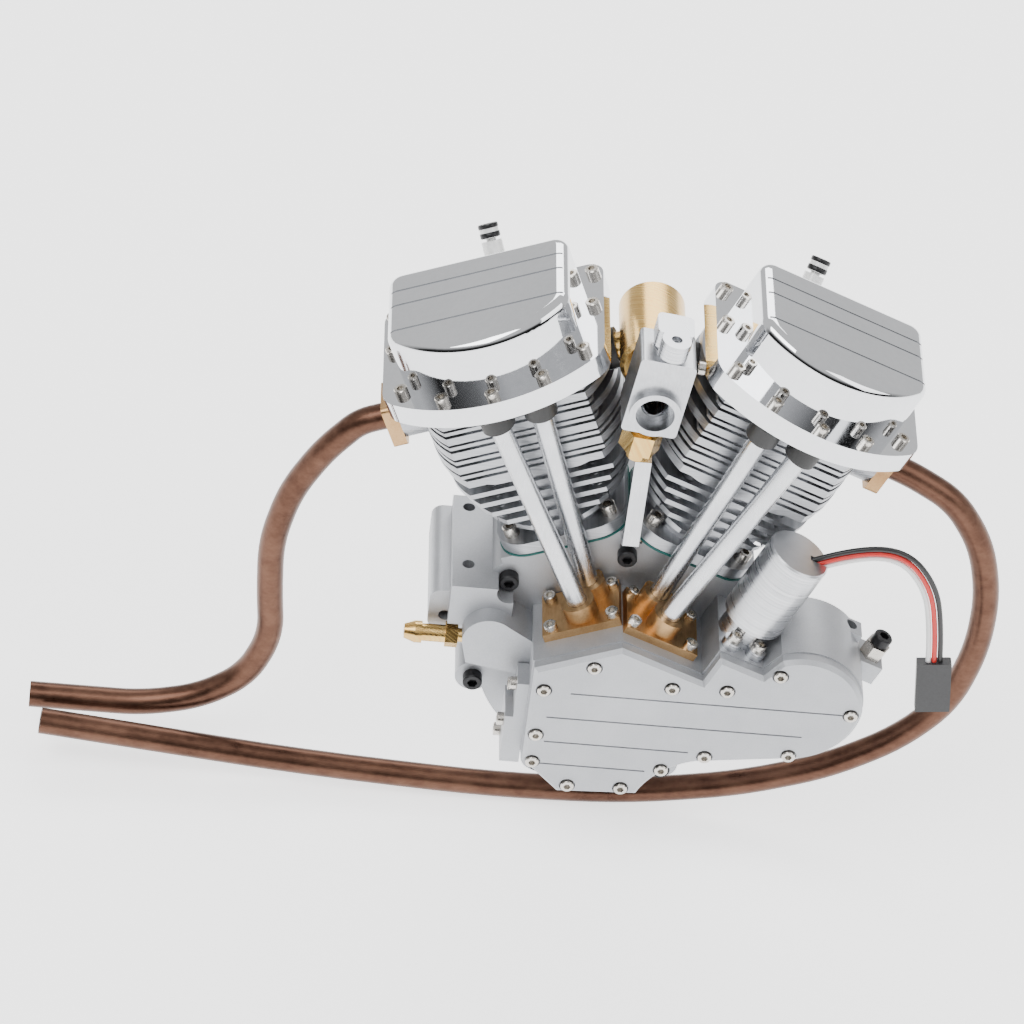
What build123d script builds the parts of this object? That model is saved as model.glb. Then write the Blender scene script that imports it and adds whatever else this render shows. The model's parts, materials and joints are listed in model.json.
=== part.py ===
"""Miniature V-twin four-stroke engine, overhead valves, twin tail pipes.

Axes: +X to the right cylinder's side, +Y along the crankshaft to the output end, +Z up.
Origin: on the crankshaft axis at the face of the rear bearing boss. Millimetres.
"""
from math import atan2, cos, degrees, hypot, pi, radians, sin, tan
import os

from build123d import *

os.makedirs("parts", exist_ok=True)

# ---------------------------------------------------------------- driving sizes
bank_angle = 22.5          # each cylinder leans this far from vertical
mid_y = -23.0              # cylinder plane, measured from the rear boss face
stagger = 1.2              # each cylinder sits this far off the cylinder plane
run = 0.05                 # radial running clearance
fit_gap = 0.05             # gap round a screw shank
bore_r = 9.0
throw = 9.0                # crank radius
rod_length = 40.0
rod_wide = 2.2

case_r = 30.0
chamber_r = 24.0
case_front = -12.0         # front face of the crank chamber, from the cylinder plane
case_rear = 14.0
chest_front = -31.0
cover_thick = 3.0
deck_h = 21.0              # tappet decks, from the crankshaft axis
seat_h = 36.0              # cylinder seats
gasket = 0.5
flange_w, flange_d = 29.6, 29.0
barrel_base = seat_h + gasket
head_h = 57.5              # joint between barrel and head
box_h = 84.0               # joint between head and rocker box
box_flange_h = 87.0
cover_h = 90.0             # joint between rocker box and cover
cover_top = 105.0
half_w = 20.3              # half width of the rocker cover's dome
rim = 4.6                  # flange outside the dome

gear_module = 0.3
pinion_teeth, cam_teeth, idler_teeth = 20, 40, 34
cam_z = gear_module * (pinion_teeth + cam_teeth) / 2
idler_x = gear_module * (cam_teeth + idler_teeth) / 2
drive_x = idler_x * 2
gear_y0, gear_y1 = -28.4, -27.0
lift = 1.5
base_circle = 3.2

outer_lifter = (0.0, -22.4)     # across the bank, along Y, at the tappet deck
inner_lifter = (-2.6, -16.3)
outer_top = (2.6, -22.6)        # where the pushrods enter the rocker box
inner_top = (-7.4, -21.6)
valve_t = 4.6
rocker_y, rocker_h = -11.8, 94.2
valve_tip_h = 93.2

can_t = drive_x * cos(radians(bank_angle)) - cam_z * sin(radians(bank_angle))
can_y = -22.0
can_seat_h = 28.8
can_base_h, can_split_h, can_top_h = 34.5, 48.0, 55.0
can_r = 7.2
port_in_h, port_out_h = 76.0, 72.0
plenum_z = port_in_h / cos(radians(bank_angle))
plenum_r = 7.3
pipe_r, pipe_wall = 3.0, 0.5

m16_head_r, m16_head_h, m16_r = 1.5, 1.6, 0.8
m25_head_r, m25_head_h, m25_r = 2.2, 2.5, 1.25
strip_thick = 1.2          # carburettor bracket

sa, ca = sin(radians(bank_angle)), cos(radians(bank_angle))


# ---------------------------------------------------------------- helpers
def front(y):
    """Plane facing the front of the engine, y from the cylinder plane; local axes X and Z."""
    return Plane(origin=(0, mid_y + y, 0), x_dir=(1, 0, 0), z_dir=(0, -1, 0))


def on_right(shape):
    """Upright bank shape to the right cylinder's place."""
    return shape.rotate(Axis.Y, bank_angle).moved(Location((0, mid_y - stagger, 0)))


def on_left(shape):
    turned = shape.mirror(Plane.YZ).rotate(Axis.Y, -bank_angle)
    return turned.moved(Location((0, mid_y + stagger, 0)))


def right_point(t, y, h):
    return Vector(t * ca + h * sa, mid_y - stagger + y, h * ca - t * sa)


def between(a, b):
    """Plane at a, facing b."""
    return Plane(origin=a, z_dir=Vector(*b) - Vector(*a))


def gap(a, b):
    return (Vector(*b) - Vector(*a)).length


def save(shape, name):
    shape.label = name
    export_step(shape, "parts/" + name + ".step")


def cap_screw(head_r, head_h, shank_r, length, socket=0.55):
    """Socket cap screw, head on top of the XY plane, shank below."""
    with BuildPart() as screw:
        with BuildSketch(Plane.XY):
            Circle(head_r)
        extrude(amount=head_h)
        chamfer(screw.edges().group_by(Axis.Z)[-1], head_r * 0.12)
        with BuildSketch(Plane.XY):
            Circle(shank_r)
        extrude(amount=-length)
        with BuildSketch(Plane.XY.offset(head_h)):
            RegularPolygon(head_r * socket, 6)
        extrude(amount=-head_h * 0.55, mode=Mode.SUBTRACT)
    return screw.part


def tooth_ring(teeth, module, phase=0.0, addendum=0.93, dedendum=1.2, thick=0.44):
    """Outline points of a straight-flanked gear."""
    pitch_r = module * teeth / 2
    tip, root = pitch_r + addendum * module, pitch_r - dedendum * module
    half = thick * pi * module / 2
    slope = tan(radians(22))
    tip_half = half - addendum * module * slope
    root_half = half + dedendum * module * slope
    points = []
    for k in range(teeth):
        a = radians(phase) + 2 * pi * k / teeth
        for r, w in ((root, -root_half), (tip, -tip_half), (tip, tip_half), (root, root_half)):
            b = a + w / r
            points.append((r * cos(b), r * sin(b)))
    return points


def gear_disc(centre, teeth, y_rear, y_front, phase):
    """Gear standing on the chest's gear plane, inside the current part."""
    with BuildSketch(front(y_rear)) as sk:
        with Locations(centre):
            Polygon(*tooth_ring(teeth, gear_module, phase), align=None)
    extrude(sk.sketch, amount=y_rear - y_front)


def bar(y_rear, y_front, radius, centre=(0, 0), mode=Mode.ADD):
    """Round bar along Y between two distances from the cylinder plane."""
    with BuildSketch(front(y_rear)) as sk:
        with Locations(centre):
            Circle(radius)
    extrude(sk.sketch, amount=y_rear - y_front, mode=mode)


def post(t, y, h0, h1, radius, mode=Mode.ADD):
    """Round post of an upright bank shape."""
    with BuildSketch(Plane.XY.offset(h0)) as sk:
        with Locations((t, y)):
            Circle(radius)
    extrude(sk.sketch, amount=h1 - h0, mode=mode)


def strut(a, b, radius, mode=Mode.ADD):
    with BuildSketch(between(a, b)) as sk:
        Circle(radius)
    extrude(sk.sketch, amount=gap(a, b), mode=mode)


def along(low, high, h):
    """Point at height h on the line through low (t, y, h) and high."""
    k = (h - low[2]) / (high[2] - low[2])
    return tuple(low[i] + k * (high[i] - low[i]) for i in range(3))


def block(x0, x1, y0, y1, z0, z1, mode=Mode.ADD):
    with BuildSketch(Plane.XY.offset(z0)) as sk:
        with Locations(((x0 + x1) / 2, (y0 + y1) / 2)):
            Rectangle(x1 - x0, y1 - y0)
    extrude(sk.sketch, amount=z1 - z0, mode=mode)


# ---------------------------------------------------------------- shared places
base_screws_at = [(sx * (flange_w / 2 - 3.6), sy * (flange_d / 2 - 4.6)) for sx in (-1, 1) for sy in (-1, 1)]
tappet_screws_at = [(sx * 7.1, -20.2 + sy * 5.0) for sx in (-1, 1) for sy in (-1, 1)]
cover_screws_at = [(-16.0, 9.0), (-5.6, 16.6), (12.2, 12.4), (24.4, 12.9), (35.6, 18.4), (52.6, 8.6), (40.4, -4.6)]
cover_screws_at += [(21.8, -6.9), (12.6, -11.8), (4.2, -18.2), (-7.8, -18.6), (-16.4, -12.2), (-16.4, -4.2)]
case_screws_at = [(-25.2, 22.4), (0.0, 33.0), (-30.4, -7.6), (-13.0, -30.6), (15.0, -29.6)]
dome_front = 26.6
dome_arc = (half_w ** 2 + 9.6 ** 2) / (2 * 9.6)      # radius of the dome's curved front
dome_arc_y = dome_arc - dome_front
screw_line = rim / 2
box_screws_at = [(sx * (half_w + screw_line), y) for sx in (-1, 1) for y in (6.4, -5.4)]
box_screws_at += [(t, dome_arc_y - ((dome_arc + screw_line) ** 2 - t * t) ** 0.5) for t in (-20.4, -11.2, 0, 11.2, 20.4)]
left_lug_z = 23.5
can_screws_at = [(can_t + side * 3.0, can_y + stagger - 5.9) for side in (-1, 1)]
lug_screw, lug_h = (48.5, -14.8), 33.0      # screw in the tilted lug right of the chest
lug_holes_y = 10.0

outer_low = (outer_lifter[0], outer_lifter[1], 27.0)
outer_high = (outer_top[0], outer_top[1], box_h)
inner_low = (inner_lifter[0], inner_lifter[1], 27.0)
inner_high = (inner_top[0], inner_top[1], box_h)
pushrods = {"exhaust": (outer_low, outer_high), "inlet": (inner_low, inner_high)}


plate_screws_at = [(-26.8, 4.2), (-22.4, 0.2), (-26.8, -6.6), (-22.4, -13.6)]
nipple_y, nipple_z = -17.5, 9.0


def side_hole(x, y, z, depth, radius):
    """Blind hole in a face that looks along -X, from depth below it outwards."""
    with BuildSketch(Plane(origin=(x + depth, mid_y + y, z), x_dir=(0, 1, 0), z_dir=(-1, 0, 0))) as sk:
        Circle(radius)
    extrude(sk.sketch, amount=depth + 9, mode=Mode.SUBTRACT)


def chest_outline():
    """Outline of the timing chest and its cover, in X and Z."""
    deck_z = (deck_h - sa * 19.0) / ca
    with BuildLine() as line:
        a = Line((-19, -12.6), (-19, deck_z))
        b = Line(a @ 1, (0, deck_h / ca))
        c = Line(b @ 1, (18.6, (deck_h - sa * 18.6) / ca))
        d = Line(c @ 1, (21.6, (can_seat_h - sa * 21.6) / ca))
        e = Line(d @ 1, (31.8, (can_seat_h - sa * 31.8) / ca))
        f = Line(e @ 1, (35.4, 22.6))
        g = ThreePointArc(f @ 1, (50.0, 20.4), (55.4, 8.6))
        h = ThreePointArc(g @ 1, (51.6, -0.6), (42.0, -6.2))
        i = Line(h @ 1, (20.2, -9.4))
        j = ThreePointArc(i @ 1, (13.4, -13.0), (8.0, -20.4))
        k = Line(j @ 1, (-10.0, -21.4))
        Line(k @ 1, (-19, -12.6))
    return line.line


def dome_sketch(inset=0.0, back=5.6):
    """D-shaped outline: straight back, curved front, t across and y along."""
    w, y0, y1 = half_w - inset, back - inset, -(dome_front - inset)
    with BuildLine() as outline:
        a = Line((-w, y0), (w, y0))
        b = Line(a @ 1, (w, y1 + 9.6))
        c = ThreePointArc(b @ 1, (0, y1), (-w, y1 + 9.6))
        Line(c @ 1, a @ 0)
    make_face(outline.edges())


def d_slab(inset, back, h0, h1, round_r, mode=Mode.ADD):
    with BuildSketch(Plane.XY.offset(h0)) as sk:
        dome_sketch(inset, back)
        fillet(sk.vertices().group_by(Axis.Y)[0], min(round_r * 1.6, 9))
        fillet(sk.vertices().group_by(Axis.Y)[-1], round_r)
    extrude(sk.sketch, amount=h1 - h0, mode=mode)


# ================================================================ crankcase
def case_face(lugs):
    """Outline of the crank chamber with the two cylinder seats."""
    Circle(case_r)
    for turn in (-bank_angle, bank_angle):
        with BuildSketch(mode=Mode.PRIVATE) as seat:
            with Locations((0, seat_h / 2)):
                Rectangle(29.8, seat_h)
        add(seat.sketch.rotate(Axis.Z, turn))
    for x, z in lugs:
        with Locations((x, z)):
            Circle(4.0)


def bank_bores(h0, h1, radius, t=0.0, y=0.0):
    """Cutters square to both cylinder seats."""
    with BuildPart(mode=Mode.PRIVATE) as tool:
        post(t, y, h0, h1, radius)
    add(on_left(tool.part), mode=Mode.SUBTRACT)
    add(on_right(tool.part), mode=Mode.SUBTRACT)


with BuildPart() as crankcase_front_half:
    with BuildSketch(front(0)):
        case_face(case_screws_at)
    extrude(amount=-case_front)
    # timing chest in front of the crank chamber
    with BuildSketch(front(case_front)):
        add(chest_outline())
        make_face()
    extrude(amount=case_front - chest_front)
    # mounting block at the left, with its rounded outer rail
    block(-38, -24, mid_y - 12, mid_y, 2, left_lug_z)
    block(-38, -24, mid_y - 18, mid_y, 12.5, left_lug_z)
    with BuildSketch(front(0)):
        with Locations((-38.6, 13.0)):
            RectangleRounded(7.4, 11.2, 2.6)
    extrude(amount=14)
    # oil gallery boss, a D seen from the front
    with BuildSketch(front(case_front)):
        with Locations((-28.6, 12.0)):
            Circle(6.0)
        with BuildLine():
            Polyline((-34.4, 10.4), (-33.2, 5.4), (-18.5, 2.6), (-18.5, 12.6), (-25.4, 17.0), (-34.4, 10.4))
        make_face()
    extrude(amount=10.5)
    # lug at the right of the chest, with a tapped hole
    with BuildPart(mode=Mode.PRIVATE) as lug:
        block(36, 51.4, -18.6, -10.8, lug_h - 5.0, lug_h)
        block(36, 43.9, -15.6, -10.8, lug_h, lug_h + 4.0)
    add(on_right(lug.part))
    # seats for the cylinders, flat across both halves
    # crank chamber and front bearing
    bar(0, -9, chamber_r, mode=Mode.SUBTRACT)
    bar(-9, -13.6, 6.5, mode=Mode.SUBTRACT)
    bar(-13.6, -26.6, 3.4, mode=Mode.SUBTRACT)
    # gear room
    with BuildSketch(front(-26.5)) as gear_room:
        add(chest_outline())
        make_face()
        offset(amount=-5.2, kind=Kind.INTERSECTION, mode=Mode.REPLACE)
        for x, z, teeth in ((0, 0, pinion_teeth), (0, cam_z, cam_teeth), (idler_x, cam_z, idler_teeth),
                            (drive_x, cam_z, cam_teeth)):
            with Locations((x, z)):
                Circle(gear_module * (teeth / 2 + 0.93) + 0.5)
    extrude(amount=4.6, mode=Mode.SUBTRACT)
    # cam room under the tappet decks
    with BuildSketch(front(-14.0)):
        roof = deck_h - 2.4
        roof_side = (roof - sa * 10) / ca
        Polygon((-10, 3.6), (10, 3.6), (10, roof_side), (0, roof / ca), (-10, roof_side), align=None)
    extrude(amount=12.7, mode=Mode.SUBTRACT)
    bar(-11.0, -15, 1.5 + run, (0, cam_z), mode=Mode.SUBTRACT)
    bar(-23.0, -27, 1.5 + run, (idler_x, cam_z), mode=Mode.SUBTRACT)
    bar(-13.5, -27, 1.2 + run, (drive_x, cam_z), mode=Mode.SUBTRACT)
    # cylinder bores, stud holes, tappet holes
    bank_bores(20, seat_h + 5, 10.6)
    for bx, by in base_screws_at:
        bank_bores(seat_h - 2.6, seat_h + 5, m25_r * 0.8 + fit_gap, bx, by)
    for lx, ly in (outer_lifter, inner_lifter):
        bank_bores(10, deck_h + 5, 2.0 + run, lx, ly)
    for bx, by in tappet_screws_at:
        bank_bores(deck_h - 3.4, deck_h + 5, m16_r + fit_gap, bx, by)
    # ignition drive room, with its bore up to the ignition seat
    with BuildPart(mode=Mode.PRIVATE) as drive_room:
        post(can_t, can_y + stagger, 12.6, 23.2, 5.6)
        post(can_t, can_y + stagger, 23.0, 40.0, 4.5)
        for t, y in can_screws_at:
            post(t, y, can_seat_h - 4, can_seat_h + 1, m16_r + fit_gap)
    add(on_right(drive_room.part), mode=Mode.SUBTRACT)
    # screw holes
    for x, z in cover_screws_at:
        bar(chest_front + 5, chest_front - 1, m16_r + fit_gap, (x, z), mode=Mode.SUBTRACT)
    for y, z in plate_screws_at:
        side_hole(-19, y, z, 3.4, m16_r + fit_gap)
    side_hole(-33, nipple_y, nipple_z, 4.6, 1.55 + fit_gap)
    for x, z in case_screws_at:
        bar(1, case_front - 1, m25_r + fit_gap, (x, z), mode=Mode.SUBTRACT)
        bar(case_front, case_front - 9, m25_head_r + 0.5, (x, z), mode=Mode.SUBTRACT)
    for y in (-lug_holes_y, lug_holes_y):
        post(-34.4, mid_y + y, left_lug_z - 8, left_lug_z + 1, 1.4, mode=Mode.SUBTRACT)
    bar(-9, -15, 1.4, (-38.6, 11.5), mode=Mode.SUBTRACT)
    with BuildPart(mode=Mode.PRIVATE) as lug_holes:
        post(lug_screw[0], lug_screw[1], lug_h - 5.6, lug_h + 1, m25_r + fit_gap)
        post(lug_screw[0] - 7.2, lug_screw[1] + 2.0, lug_h - 5, lug_h + 9, 1.4)
    add(on_right(lug_holes.part), mode=Mode.SUBTRACT)
save(crankcase_front_half.part, "crankcase_front_half")
print("front half", crankcase_front_half.part.volume)


with BuildPart() as crankcase_rear_half:
    with BuildSketch(front(case_rear)):
        case_face(case_screws_at)
    extrude(amount=case_rear)
    # bearing boss, its face is the origin plane
    bar(-mid_y, case_rear, 11.0)
    chamfer(crankcase_rear_half.edges().group_by(Axis.Y)[-1], 0.8)
    block(-38, -24, mid_y, mid_y + 14, 2, left_lug_z)
    with BuildSketch(front(16)):
        with Locations((-38.6, 13.0)):
            RectangleRounded(7.4, 11.2, 2.6)
    extrude(amount=16)
    # foot at the right of the rear half
    block(24, 37, mid_y + 2, mid_y + 14, 2.5, 8.5)
    bar(9, 0, chamber_r, mode=Mode.SUBTRACT)
    bar(-mid_y - 1.0, 9, 6.5, mode=Mode.SUBTRACT)
    bar(-mid_y + 1, 9, 4.4, mode=Mode.SUBTRACT)
    bank_bores(20, seat_h + 5, 10.6)
    for bx, by in base_screws_at:
        bank_bores(seat_h - 2.6, seat_h + 5, m25_r * 0.8 + fit_gap, bx, by)
    for x, z in case_screws_at:
        bar(11, -1, m25_r + fit_gap, (x, z), mode=Mode.SUBTRACT)
    for y in (-lug_holes_y, lug_holes_y):
        post(-34.4, mid_y + y, left_lug_z - 8, left_lug_z + 1, 1.4, mode=Mode.SUBTRACT)
    post(33.2, mid_y + 8.0, 2, 9, 1.4, mode=Mode.SUBTRACT)
save(crankcase_rear_half.part, "crankcase_rear_half")

m25_screw = cap_screw(m25_head_r, m25_head_h, m25_r, 20.0)
with BuildPart() as case_screws:
    for x, z in case_screws_at:
        under = strip_thick if x == 0 else 0
        with Locations(front(case_front - under).location * Location((x, z, 0))):
            add(m25_screw)
    # the one in the right lug stands on its hex spacer
    lug_place = Location((lug_screw[0], lug_screw[1], lug_h + 3.6))
    add(on_right(cap_screw(m25_head_r, m25_head_h, m25_r, 8.0).moved(lug_place)))
save(case_screws.part, "case_screws")

with BuildPart() as hex_standoff:
    with BuildSketch(Plane.XY.offset(lug_h)):
        with Locations(lug_screw):
            RegularPolygon(2.9, 6)
            Circle(m25_r + fit_gap, mode=Mode.SUBTRACT)
    extrude(amount=3.6)
save(on_right(hex_standoff.part), "hex_standoff")

# ================================================================ crank train
with BuildPart() as main_bearings:
    bar(-9, -13.6, 6.5)
    bar(-8, -16, 2.5 + run, mode=Mode.SUBTRACT)
    bar(-mid_y - 1.0, 11.0, 6.5)
    bar(-mid_y, 10.0, 4.0 + run, mode=Mode.SUBTRACT)
save(main_bearings.part, "main_bearings")

disc_out, disc_in = 8.5, 3.9
with BuildPart() as front_flywheel:
    bar(-disc_in, -disc_out, 22.0)
    bar(-disc_out, -26.2, 2.5)
    bar(-26.2, -30.6, 1.8)
    gear_disc((0, 0), pinion_teeth, gear_y1, gear_y0, 0.0)
    bar(-1, -9, 2.0 + 0.1, (0, throw), mode=Mode.SUBTRACT)
save(front_flywheel.part, "front_flywheel")

with BuildPart() as rear_flywheel:
    bar(disc_out, disc_in, 22.0)
    bar(-mid_y - 1.0, disc_out, 4.0)
    bar(-mid_y + 14.0, -mid_y - 1.0, 3.0)
    chamfer(rear_flywheel.edges().group_by(Axis.Y)[-1], 0.4)
    bar(9, 1, 2.0 + 0.1, (0, throw), mode=Mode.SUBTRACT)
save(rear_flywheel.part, "rear_flywheel")

with BuildPart() as crankpin:
    bar(3.5, -3.5, 2.0, (0, throw))
save(crankpin.part, "crankpin")

pin_h = throw * ca + (rod_length ** 2 - (throw * sa) ** 2) ** 0.5
rod_y = rod_wide / 2 + 0.1


def rod_in_bank(y):
    """Connecting rod in upright bank axes, y its middle."""
    low = Vector(-throw * sa, 0, throw * ca)
    high = Vector(0, 0, pin_h)
    lean = degrees(atan2(low.X - high.X, high.Z - low.Z))
    with BuildPart() as rod:
        with BuildSketch(Plane(origin=(low.X, y, low.Z), x_dir=(1, 0, 0), z_dir=(0, -1, 0))) as sk:
            Circle(4.2)
            with Locations((high.X - low.X, high.Z - low.Z)):
                Circle(3.0)
            with Locations(Location(((high.X - low.X) / 2, (high.Z - low.Z) / 2, 0), (0, 0, lean))):
                Rectangle(3.6, rod_length)
            Circle(2.0 + run, mode=Mode.SUBTRACT)
            with Locations((high.X - low.X, high.Z - low.Z)):
                Circle(1.5 + run, mode=Mode.SUBTRACT)
        extrude(sk.sketch, amount=rod_wide / 2, both=True)
    return rod.part


with BuildPart() as connecting_rods:
    add(on_right(rod_in_bank(stagger - rod_y)))
    add(on_left(rod_in_bank(rod_y - stagger)))
save(connecting_rods.part, "connecting_rods")

with BuildPart() as piston:
    post(0, 0, pin_h - 6.0, pin_h + 7.0, bore_r - run)
    post(0, 0, pin_h - 7.0, pin_h + 4.6, bore_r - 1.3, mode=Mode.SUBTRACT)
    for h in (2.6, 4.6):
        with BuildSketch(Plane.XY.offset(pin_h + h)):
            Circle(bore_r + 1)
            Circle(bore_r - 0.6, mode=Mode.SUBTRACT)
        extrude(amount=0.8, mode=Mode.SUBTRACT)
    for y in (-6.4, 6.4):
        with BuildSketch(Plane.XY.offset(pin_h - 3.4)):
            with Locations((0, y)):
                Rectangle(6.4, 3.4)
        extrude(amount=8.1)
    with BuildSketch(Plane(origin=(0, 0, pin_h), x_dir=(1, 0, 0), z_dir=(0, -1, 0))):
        Circle(1.5 + run)
    extrude(amount=10, both=True, mode=Mode.SUBTRACT)
with BuildPart() as pistons:
    add(on_right(piston.part))
    add(on_left(piston.part))
save(pistons.part, "pistons")

with BuildPart() as wrist_pin:
    with BuildSketch(Plane(origin=(0, 0, pin_h), x_dir=(1, 0, 0), z_dir=(0, -1, 0))):
        Circle(1.5)
    extrude(amount=7.9, both=True)
with BuildPart() as wrist_pins:
    add(on_right(wrist_pin.part))
    add(on_left(wrist_pin.part))
save(wrist_pins.part, "wrist_pins")

# ================================================================ timing gear
lobe_y = {("left", "exhaust"): stagger + outer_lifter[1], ("left", "inlet"): stagger + inner_lifter[1]}
lobe_y[("right", "exhaust")] = -stagger + outer_lifter[1]
lobe_y[("right", "inlet")] = -stagger + inner_lifter[1]
lobe_turn = {("left", "exhaust"): -100, ("left", "inlet"): 150, ("right", "exhaust"): 95, ("right", "inlet"): -35}


def cam_lobe(y, turn):
    nose_r = 1.5
    nose = base_circle + lift - nose_r
    spot = (nose * cos(radians(turn)), cam_z + nose * sin(radians(turn)))
    for half in (0.8,):
        with BuildSketch(front(y + half)) as sk:
            with Locations((0, cam_z)):
                Circle(base_circle)
            with Locations(spot):
                Circle(nose_r)
            make_hull()
        extrude(sk.sketch, amount=2 * half)


with BuildPart() as camshaft:
    bar(-11.5, -32.6, 1.5, (0, cam_z))
    for key, y in lobe_y.items():
        cam_lobe(y, lobe_turn[key])
    gear_disc((0, cam_z), cam_teeth, gear_y1, gear_y0, 180.0 / cam_teeth)
save(camshaft.part, "camshaft")

with BuildPart() as idler_gear:
    gear_disc((idler_x, cam_z), idler_teeth, gear_y1, gear_y0, 0.0)
    bar(-23.4, -32.6, 1.5, (idler_x, cam_z))
save(idler_gear.part, "idler_gear")

bevel_teeth, bevel_module, bevel_inner = 16, 0.45, 2.3
bevel_r = bevel_teeth * bevel_module / 2
apex = Vector(drive_x, mid_y + can_y, cam_z)


def bevel_wheel(plane_at, first):
    """Mitre gear: loft between the outer and inner tooth outlines; first is a tooth's angle."""
    with BuildPart(mode=Mode.PRIVATE) as wheel:
        with BuildSketch(plane_at(bevel_r)) as outer:
            Polygon(*tooth_ring(bevel_teeth, bevel_module, first, 0.66, 0.95, 0.40), align=None)
        with BuildSketch(plane_at(bevel_inner)) as inner:
            shrink = bevel_inner / bevel_r
            ring = tooth_ring(bevel_teeth, bevel_module, first, 0.66, 0.95, 0.40)
            Polygon(*[(x * shrink, y * shrink) for x, y in ring], align=None)
        loft([outer.sketch, inner.sketch], ruled=True)
    return wheel.part


can_axis = Vector(sa, 0, ca)


def out_of_front(d):
    return Plane(origin=(drive_x, mid_y + can_y - d, cam_z), x_dir=(1, 0, 0), z_dir=(0, -1, 0))


with BuildPart() as ignition_drive_shaft:
    bar(-14.0, -32.6, 1.2, (drive_x, cam_z))
    gear_disc((drive_x, cam_z), cam_teeth, gear_y1, gear_y0, 180.0 / cam_teeth)
    add(bevel_wheel(out_of_front, 90 - bank_angle))
save(ignition_drive_shaft.part, "ignition_drive_shaft")


def up_can(d):
    return Plane(origin=apex + can_axis * d, x_dir=(0, -1, 0), z_dir=can_axis)


apex_h = (drive_x * sa + cam_z * ca)
with BuildPart() as ignition_rotor:
    add(bevel_wheel(up_can, 180.0 / bevel_teeth))
    with BuildSketch(up_can(bevel_r)):
        Circle(1.5)
    extrude(amount=can_split_h + 1.0 - apex_h - bevel_r)
    with BuildSketch(up_can(can_split_h - 2.2 - apex_h)):
        Circle(4.6)
    extrude(amount=2.2)
save(ignition_rotor.part, "ignition_rotor")

# ================================================================ cam cover
with BuildPart() as cam_cover:
    with BuildSketch(front(chest_front)):
        add(chest_outline())
        make_face()
        offset(amount=-0.3, kind=Kind.INTERSECTION, mode=Mode.REPLACE)
    extrude(amount=cover_thick)
    edge = cam_cover.faces().sort_by(Axis.Y)[0].edges()
    chamfer(edge, 0.9)
    with BuildSketch(front(chest_front)):
        add(chest_outline())
        make_face()
        offset(amount=-5.2, kind=Kind.INTERSECTION, mode=Mode.REPLACE)
    extrude(amount=0.8, mode=Mode.SUBTRACT)
    for x in (0.0, idler_x):
        bar(chest_front, chest_front - 1.8, 1.5 + run, (x, cam_z), mode=Mode.SUBTRACT)
    bar(chest_front, chest_front - 1.8, 1.2 + run, (drive_x, cam_z), mode=Mode.SUBTRACT)
    for x, z in cover_screws_at:
        bar(chest_front + 1, chest_front - cover_thick - 1, m16_r + fit_gap, (x, z), mode=Mode.SUBTRACT)
        bar(chest_front - 2.0, chest_front - cover_thick - 1, m16_head_r + 0.35, (x, z), mode=Mode.SUBTRACT)
    for x0, x1, z in ((-10.0, 51.0, 8.6), (-14.6, 42.6, 1.2), (-14.4, 18.0, -6.0), (-14.6, 9.0, -12.6)):
        with BuildSketch(front(chest_front - cover_thick + 0.3)):
            with Locations(((x0 + x1) / 2, z)):
                Rectangle(x1 - x0, 0.4)
        extrude(amount=1, mode=Mode.SUBTRACT)
save(cam_cover.part, "cam_cover")


# ================================================================ cylinders
def round_slab(w, d, corner, h0, h1, mode=Mode.ADD):
    with BuildSketch(Plane.XY.offset(h0)) as sk:
        RectangleRounded(w, d, corner)
    extrude(sk.sketch, amount=h1 - h0, mode=mode)


def fin(radius, front_cut, h0, thick):
    with BuildSketch(Plane.XY.offset(h0)) as sk:
        Circle(radius)
        with Locations((0, -front_cut - 20)):
            Rectangle(80, 40, mode=Mode.SUBTRACT)
        with Locations((0, 17.5 + 20)):
            Rectangle(80, 40, mode=Mode.SUBTRACT)
    extrude(sk.sketch, amount=thick)


def both(upright, name):
    """The right and left copies of an upright bank shape as one node."""
    with BuildPart() as pair:
        add(on_right(upright))
        add(on_left(upright))
    save(pair.part, name)


with BuildPart() as base_gasket:
    round_slab(flange_w + 0.4, flange_d + 0.4, 7.2, seat_h, barrel_base)
    post(0, 0, seat_h, barrel_base, 10.7, mode=Mode.SUBTRACT)
    for x, y in base_screws_at:
        post(x, y, seat_h, barrel_base, m25_r * 0.8 + fit_gap, mode=Mode.SUBTRACT)
both(base_gasket.part, "base_gaskets")

barrel_fins = [(42.0, 14.6), (45.0, 17.0), (48.0, 18.7), (51.0, 19.9), (54.0, 21.0)]
with BuildPart() as barrel:
    round_slab(flange_w, flange_d, 7.0, barrel_base, barrel_base + 3.0)
    post(0, 0, barrel_base, head_h, 12.4)
    for h, r in barrel_fins:
        fin(r, 13.3, h, 1.2)
    post(0, 0, 27.2, barrel_base, 10.5)
    post(0, 0, 20, head_h + 1, bore_r, mode=Mode.SUBTRACT)
    for x, y in base_screws_at:
        post(x, y, barrel_base, barrel_base + 3, m25_r * 0.8 + fit_gap, mode=Mode.SUBTRACT)
        post(x, y, barrel_base + 3, head_h + 1, m25_head_r * 0.8 + 0.3, mode=Mode.SUBTRACT)
both(barrel.part, "cylinder_barrels")

with BuildPart() as base_screw_set:
    with Locations(*[Location((x, y, barrel_base + 3.0)) for x, y in base_screws_at]):
        add(cap_screw(m25_head_r * 0.8, m25_head_h, m25_r * 0.8, 5.5))
both(base_screw_set.part, "base_screws")

plug_tilt = 33.0
plug_foot = Vector(0, 2.0, 59.0)
plug_dir = Vector(0, sin(radians(plug_tilt)), cos(radians(plug_tilt)))
plug_seat = 20.0


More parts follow.
